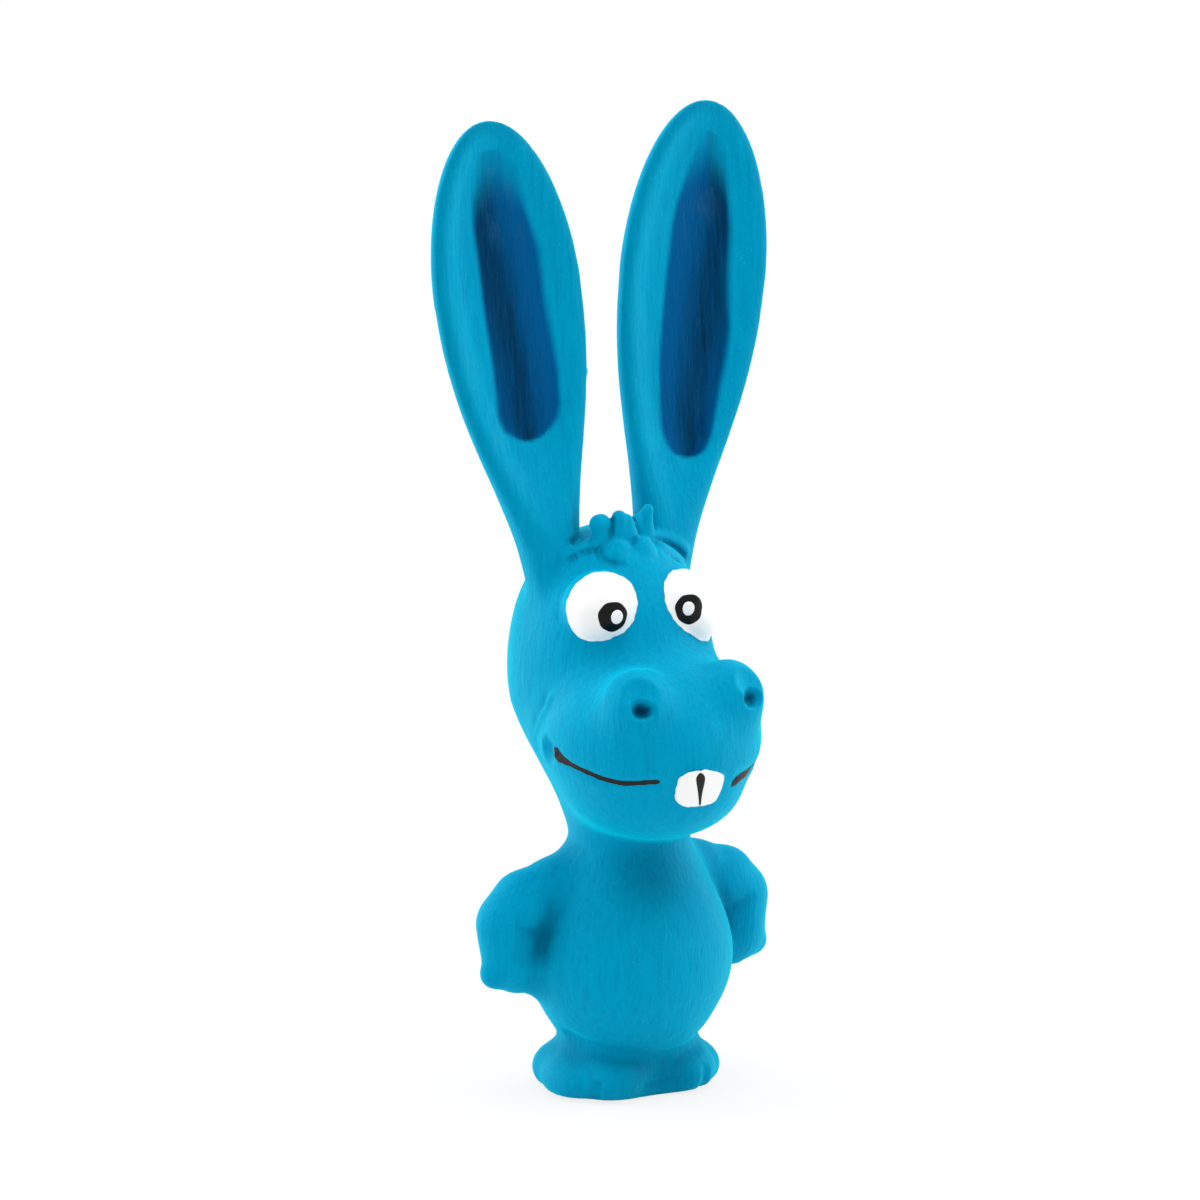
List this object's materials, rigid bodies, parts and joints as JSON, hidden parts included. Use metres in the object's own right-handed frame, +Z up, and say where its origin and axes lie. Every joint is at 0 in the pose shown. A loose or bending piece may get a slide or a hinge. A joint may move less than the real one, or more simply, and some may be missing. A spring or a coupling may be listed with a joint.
{
  "type": "squeaky dog toy",
  "caption": "Hollow latex donkey figure with long upright ears, painted face and ear linings, and a reed squeaker plugged into its base.",
  "frame": {"origin": "on the ground, under the middle of the toy's box", "axes": "+Z up, -Y the way the toy faces, +X the toy's left"},
  "size_m": [0.0858, 0.0678, 0.221],
  "materials": {
    "blue_latex": "matte bright blue natural latex",
    "dark_blue_latex": "satin dark blue latex, brushed on",
    "white_latex": "satin white latex, brushed on",
    "black_latex": "satin black latex, brushed on",
    "white_plastic": "moulded white polyethylene",
    "reed_brass": "thin rolled strip"
  },
  "bodies": {
    "toy": {"latex_skin": "blue_latex", "eye_white_left": "white_latex", "eye_white_right": "white_latex", "pupil_left": "black_latex", "pupil_right": "black_latex", "eye_glint_left": "white_latex", "eye_glint_right": "white_latex", "teeth_paint": "white_latex", "tooth_line": "black_latex", "mouth_line_left": "black_latex", "mouth_line_right": "black_latex", "ear_lining_left": "dark_blue_latex", "ear_lining_right": "dark_blue_latex", "squeaker_barrel": "white_plastic", "squeaker_cap": "white_plastic", "reed_block": "white_plastic", "reed_clamp": "white_plastic"},
    "reed": {"reed": "reed_brass"}
  },
  "joints": [
    {"name": "reed_flex", "type": "hinge", "parent": "toy", "child": "reed", "pos_m": [0, 0.00129, 0.01095], "axis": [1, 0, 0], "range_deg": [-3, 2], "stiffness_Nm_per_rad": 0.02}
  ]
}
